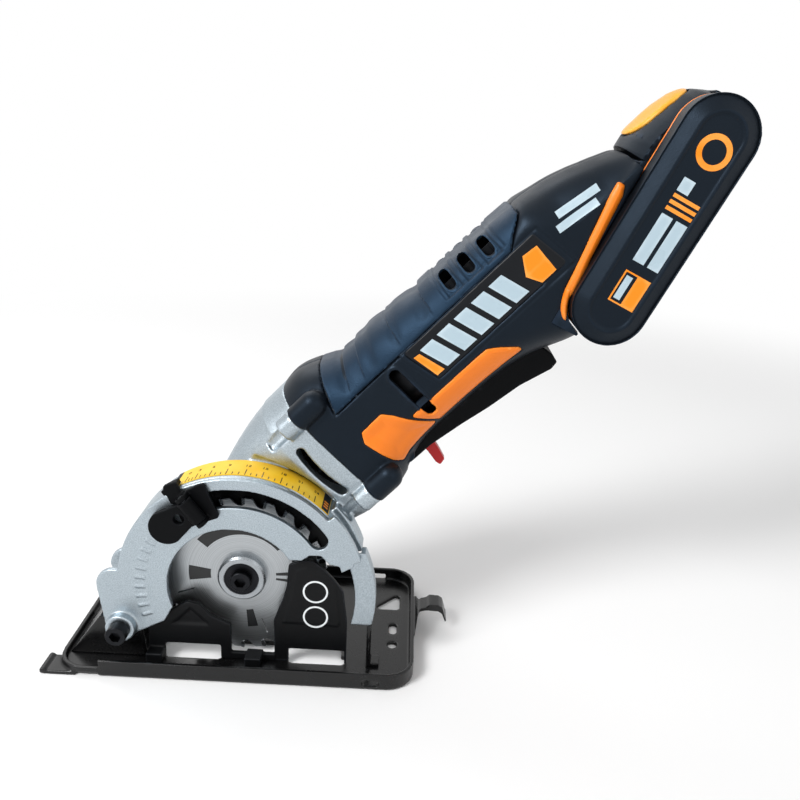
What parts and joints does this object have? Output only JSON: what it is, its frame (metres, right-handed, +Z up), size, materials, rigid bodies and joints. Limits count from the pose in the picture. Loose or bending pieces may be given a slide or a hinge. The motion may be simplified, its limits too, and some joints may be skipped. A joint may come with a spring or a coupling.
{
  "type": "compact plunge circular saw",
  "caption": "Compact battery plunge saw with a cast guard, depth scale, dark slim handle with orange trim, paddle switch and slide-on battery pack",
  "frame": {"origin": "on the sole's underside, below the blade arbor at rest, in the blade's mid-plane", "axes": "+X back towards the battery, +Y from the open side of the guard to the motor side, +Z up from the sole"},
  "size_m": [0.3097, 0.1, 0.2812],
  "materials": {
    "black_paint": "gloss",
    "cast_aluminium": "satin cast",
    "blade_steel": "brushed",
    "carbide": "ground",
    "plated_steel": "zinc plated",
    "black_oxide": "black oxide",
    "housing": "fine textured",
    "grip_rubber": "matte",
    "orange_plastic": "satin",
    "red_plastic": "satin",
    "scale_print": "printed",
    "badge_film": "satin",
    "black_plastic": "matte",
    "copper": "bare",
    "bronze": "sintered",
    "magnet": "matte",
    "cell_wrap": "film"
  },
  "bodies": {
    "base": {"base_plate": "black_paint", "pivot_bracket": "black_paint", "bracket_rivets": "plated_steel", "pivot_bolt": "black_oxide", "pivot_nut": "plated_steel", "plunge_spring": "plated_steel", "lower_shroud": "black_paint", "shroud_screws": "plated_steel", "rear_guard": "cast_aluminium", "guard_bracket": "black_paint"},
    "head": {"gear_case": "cast_aluminium", "guard_plate": "cast_aluminium", "depth_scale": "scale_print", "bearings": "plated_steel", "bearing_retainer": "plated_steel", "drive_bushes": "bronze", "gear_cover": "cast_aluminium", "cover_screws": "plated_steel", "motor_can": "plated_steel", "motor_magnets": "magnet", "motor_end_bell": "black_plastic", "motor_brushes": "magnet", "body_shell_near": "housing", "body_shell_far": "housing", "shell_screws": "black_oxide", "gear_screws": "black_oxide", "soft_grips": "grip_rubber", "side_trims": "orange_plastic", "badges": "badge_film", "paddle_pin": "plated_steel", "switch_block": "black_plastic", "terminal_block": "black_plastic", "terminal_blades": "copper"},
    "spindle": {"spindle": "plated_steel", "inner_flange": "plated_steel", "outer_flange": "plated_steel", "blade_bolt": "black_oxide", "saw_blade": "blade_steel", "carbide_tips": "carbide", "spindle_gear": "plated_steel"},
    "idler": {"idler_shaft": "plated_steel", "bevel_gear": "plated_steel"},
    "rotor": {"motor_shaft": "plated_steel", "motor_pinion": "plated_steel", "rotor_core": "plated_steel", "windings": "copper", "commutator": "copper", "cooling_fan": "black_plastic"},
    "depth_stop": {"depth_slider": "black_plastic", "clamp_nut": "plated_steel", "lever_pin": "plated_steel"},
    "lever": {"depth_lever": "black_plastic"},
    "paddle": {"paddle_switch": "black_plastic"},
    "lock_off": {"lock_off_tab": "red_plastic"},
    "spindle_lock": {"lock_button": "black_plastic"},
    "battery": {"pack_core": "housing", "pack_rings": "orange_plastic", "pack_caps": "housing", "cells": "cell_wrap"},
    "release": {"release_button": "orange_plastic"}
  },
  "joints": [
    {"name": "plunge", "type": "hinge", "parent": "base", "child": "head", "pos_m": [-0.057, 0, 0.022], "axis": [0, 1, 0], "range_deg": [0, 28], "stiffness_Nm_per_rad": 3.5, "springref_deg": -48.7},
    {"name": "blade_spin", "type": "hinge", "parent": "head", "child": "spindle", "pos_m": [0, 0, 0.045], "axis": [0, 1, 0], "continuous": true},
    {"name": "idler_spin", "type": "hinge", "parent": "head", "child": "idler", "pos_m": [-0.00115, 0.03, 0.06136], "axis": [0, 1, 0], "continuous": true},
    {"name": "rotor_spin", "type": "hinge", "parent": "head", "child": "rotor", "pos_m": [0.05942, 0.03, 0.12632], "axis": [0.682, 0, 0.7314], "continuous": true},
    {"name": "depth_set", "type": "hinge", "parent": "head", "child": "depth_stop", "pos_m": [0, 0, 0.045], "axis": [0, 1, 0], "range_deg": [0, 54]},
    {"name": "lever_flip", "type": "hinge", "parent": "depth_stop", "child": "lever", "pos_m": [-0.01876, -0.02025, 0.08918], "axis": [-0.6157, 0, 0.788], "range_deg": [0, 100]},
    {"name": "paddle_pull", "type": "hinge", "parent": "head", "child": "paddle", "pos_m": [0.07812, 0.03, 0.10751], "axis": [0, -1, 0], "range_deg": [0, 5.5], "stiffness_Nm_per_rad": 0.4, "springref_deg": -17.19},
    {"name": "lock_off_pull", "type": "hinge", "parent": "paddle", "child": "lock_off", "pos_m": [0.08611, 0.03, 0.11169], "axis": [0, -1, 0], "range_deg": [0, 25], "stiffness_Nm_per_rad": 0.01, "springref_deg": -28.65},
    {"name": "lock_press", "type": "slide", "parent": "head", "child": "spindle_lock", "axis": [0, -1, 0], "range_m": [0, 0.003], "stiffness_N_per_m": 500, "springref_m": -0.004},
    {"name": "battery_slide", "type": "slide", "parent": "head", "child": "battery", "axis": [0.4305, 0, 0.9026], "range_m": [0, 0.075]},
    {"name": "release_press", "type": "slide", "parent": "battery", "child": "release", "axis": [0.9026, 0, -0.4305], "range_m": [0, 0.0025], "stiffness_N_per_m": 800, "springref_m": -0.004}
  ],
  "couplings": [
    {"joint": "idler_spin", "follows": "blade_spin", "ratio": -1.5625},
    {"joint": "rotor_spin", "follows": "blade_spin", "ratio": 3.9062}
  ]
}
